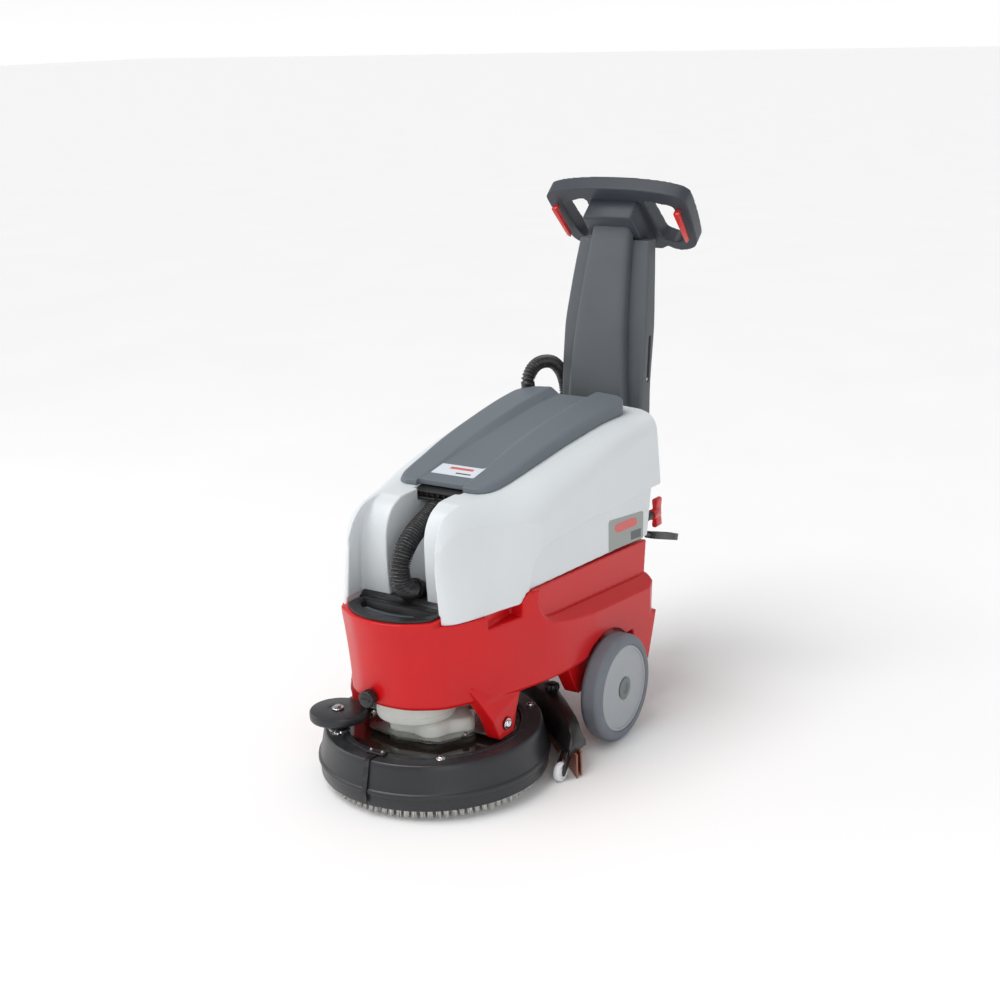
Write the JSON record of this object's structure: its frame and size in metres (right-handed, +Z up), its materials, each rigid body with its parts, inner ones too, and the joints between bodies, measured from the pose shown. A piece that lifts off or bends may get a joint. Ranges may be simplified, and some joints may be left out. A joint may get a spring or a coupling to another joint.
{
  "type": "floor scrubber machine",
  "caption": "Walk-behind floor scrubber: disc brush deck, red solution tank, light recovery tank with lid and suction hoses, squeegee, grey wheels, column with looped handle.",
  "frame": {"origin": "middle of the footprint, on the floor", "axes": "+Z up, +X the machine's right-hand side seen from its front's left, the operator stands at +Y, the brush is at -Y"},
  "size_m": [0.55, 1.15, 1.1379],
  "materials": {
    "red_tank": "rotomoulded satin",
    "light_tank": "rotomoulded satin",
    "slate_cover": "fine grained",
    "dark_plastic": "fine grained",
    "black_plastic": "satin",
    "black_hose": "satin corrugated",
    "gloss_plate": "gloss",
    "cast_metal": "as cast",
    "steel": "zinc plated",
    "tyre": "matt grey",
    "wheel_disc": "satin",
    "switch_cap": "satin",
    "bristle": "nylon tufts",
    "blade": "gum rubber",
    "roller_nylon": "satin",
    "signal_red": "satin gloss",
    "battery_case": "satin"
  },
  "bodies": {
    "chassis": {"base_tank": "red_tank", "fill_tray": "dark_plastic", "pivot_bolt_left": "steel", "pivot_bolt_right": "steel", "battery_front": "battery_case", "battery_rear": "battery_case", "vacuum_motor": "cast_metal", "solution_valve": "black_plastic", "rear_bracket": "steel", "column_housing": "slate_cover", "column_cover": "slate_cover", "column_head": "black_plastic", "handle_yoke": "dark_plastic", "control_panel": "black_plastic", "axle_left": "steel", "axle_right": "steel", "squeegee_hanger": "steel", "hose_coupling": "black_plastic", "rear_hose_upper": "black_hose", "rear_hose_lower": "black_hose"},
    "deck": {"deck_shroud": "dark_plastic", "deck_plate": "gloss_plate", "brush_motor": "cast_metal", "gear_case": "cast_metal", "roller_post": "steel", "deck_strap": "black_plastic", "tilt_frame": "steel"},
    "brush": {"brush_block": "black_plastic", "brush_bristles": "bristle", "drive_hub": "cast_metal"},
    "roller": {"bumper_roller": "dark_plastic"},
    "wheel_left": {"tyre_left": "tyre", "wheel_disc_left": "wheel_disc"},
    "wheel_right": {"tyre_right": "tyre", "wheel_disc_right": "wheel_disc"},
    "recovery": {"recovery_tank": "light_tank", "front_hose": "black_hose", "hose_elbow": "black_hose", "vacuum_outlet": "black_plastic", "inlet_cuff": "black_plastic", "tap_stem": "black_plastic", "lid_hinge_pin": "steel"},
    "lid": {"lid": "slate_cover", "lid_gasket": "black_hose"},
    "tap": {"tap_handle": "signal_red"},
    "squeegee": {"squeegee_body": "black_plastic", "squeegee_blade_front": "blade", "squeegee_blade_rear": "blade", "squeegee_arms": "steel"},
    "knob_left": {"squeegee_knob_left": "black_plastic"},
    "knob_right": {"squeegee_knob_right": "black_plastic"},
    "support_left": {"support_wheel_left": "roller_nylon"},
    "support_right": {"support_wheel_right": "roller_nylon"},
    "lever": {"lift_lever": "black_plastic"},
    "filter": {"filter_cap": "black_plastic"},
    "squeeze_left": {"trigger_left": "signal_red"},
    "squeeze_right": {"trigger_right": "signal_red"},
    "button_brush": {"brush_button": "switch_cap"},
    "button_vacuum": {"vacuum_button": "switch_cap"},
    "key": {"key_switch": "steel"}
  },
  "joints": [
    {"name": "deck_tilt", "type": "hinge", "parent": "chassis", "child": "deck", "pos_m": [0, -0.3378, 0.146], "axis": [1, 0, 0], "range_deg": [-2, 2]},
    {"name": "brush_spin", "type": "hinge", "parent": "deck", "child": "brush", "pos_m": [0, -0.3328, 0.05], "axis": [0, 0, 1], "continuous": true},
    {"name": "roller_spin", "type": "hinge", "parent": "deck", "child": "roller", "pos_m": [-0.138, -0.4698, 0.15], "axis": [0, 0, 1], "continuous": true},
    {"name": "wheel_left_spin", "type": "hinge", "parent": "chassis", "child": "wheel_left", "pos_m": [-0.2432, -0.0048, 0.116], "axis": [1, 0, 0], "continuous": true},
    {"name": "wheel_right_spin", "type": "hinge", "parent": "chassis", "child": "wheel_right", "pos_m": [0.2432, -0.0048, 0.116], "axis": [1, 0, 0], "continuous": true},
    {"name": "tank_lift", "type": "slide", "parent": "chassis", "child": "recovery", "axis": [0, 0, 1], "range_m": [0, 0.12], "deforming": ["rear_hose_upper"]},
    {"name": "lid_hinge", "type": "hinge", "parent": "recovery", "child": "lid", "pos_m": [0, 0.2567, 0.6565], "axis": [-1, 0, 0], "range_deg": [0, 55]},
    {"name": "tap_turn", "type": "hinge", "parent": "recovery", "child": "tap", "pos_m": [0.165, 0.3212, 0.402], "axis": [0, 1, 0], "range_deg": [0, 90]},
    {"name": "squeegee_lift", "type": "hinge", "parent": "chassis", "child": "squeegee", "pos_m": [0, 0.1672, 0.172], "axis": [-1, 0, 0], "range_deg": [0, 5.5], "deforming": ["rear_hose_lower"]},
    {"name": "lever_turn", "type": "hinge", "parent": "chassis", "child": "lever", "pos_m": [0.12, 0.2672, 0.363], "axis": [1, 0, 0], "range_deg": [0, 40]},
    {"name": "knob_left_turn", "type": "hinge", "parent": "squeegee", "child": "knob_left", "pos_m": [-0.13, -0.07924, 0.1], "axis": [0, 0, 1], "continuous": true},
    {"name": "knob_right_turn", "type": "hinge", "parent": "squeegee", "child": "knob_right", "pos_m": [0.13, -0.07924, 0.1], "axis": [0, 0, 1], "continuous": true},
    {"name": "support_left_spin", "type": "hinge", "parent": "squeegee", "child": "support_left", "pos_m": [-0.25, -0.2478, 0.02], "axis": [1, 0, 0], "continuous": true},
    {"name": "support_right_spin", "type": "hinge", "parent": "squeegee", "child": "support_right", "pos_m": [0.25, -0.2478, 0.02], "axis": [1, 0, 0], "continuous": true},
    {"name": "filter_cap_turn", "type": "hinge", "parent": "chassis", "child": "filter", "pos_m": [-0.03, -0.4978, 0.219], "axis": [0, -1, 0], "continuous": true},
    {"name": "trigger_left_squeeze", "type": "hinge", "parent": "chassis", "child": "squeeze_left", "pos_m": [-0.157, 0.45142, 1.06663], "axis": [1, 0, 0], "range_deg": [0, 6], "stiffness_Nm_per_rad": 1, "springref_deg": -5.73},
    {"name": "trigger_right_squeeze", "type": "hinge", "parent": "chassis", "child": "squeeze_right", "pos_m": [0.157, 0.45142, 1.06663], "axis": [1, 0, 0], "range_deg": [0, 6], "stiffness_Nm_per_rad": 1, "springref_deg": -5.73},
    {"name": "brush_button_press", "type": "slide", "parent": "chassis", "child": "button_brush", "axis": [0, -0.7431, -0.6691], "range_m": [0, 0.002], "stiffness_N_per_m": 400, "springref_m": -0.002},
    {"name": "vacuum_button_press", "type": "slide", "parent": "chassis", "child": "button_vacuum", "axis": [0, -0.7431, -0.6691], "range_m": [0, 0.002], "stiffness_N_per_m": 400, "springref_m": -0.002},
    {"name": "key_turn", "type": "hinge", "parent": "chassis", "child": "key", "pos_m": [0, 0.5421, 1.05409], "axis": [0, 0.7431, 0.6691], "range_deg": [0, 90]}
  ],
  "couplings": [
    {"joint": "lever_turn", "follows": "squeegee_lift", "ratio": 7.27}
  ]
}
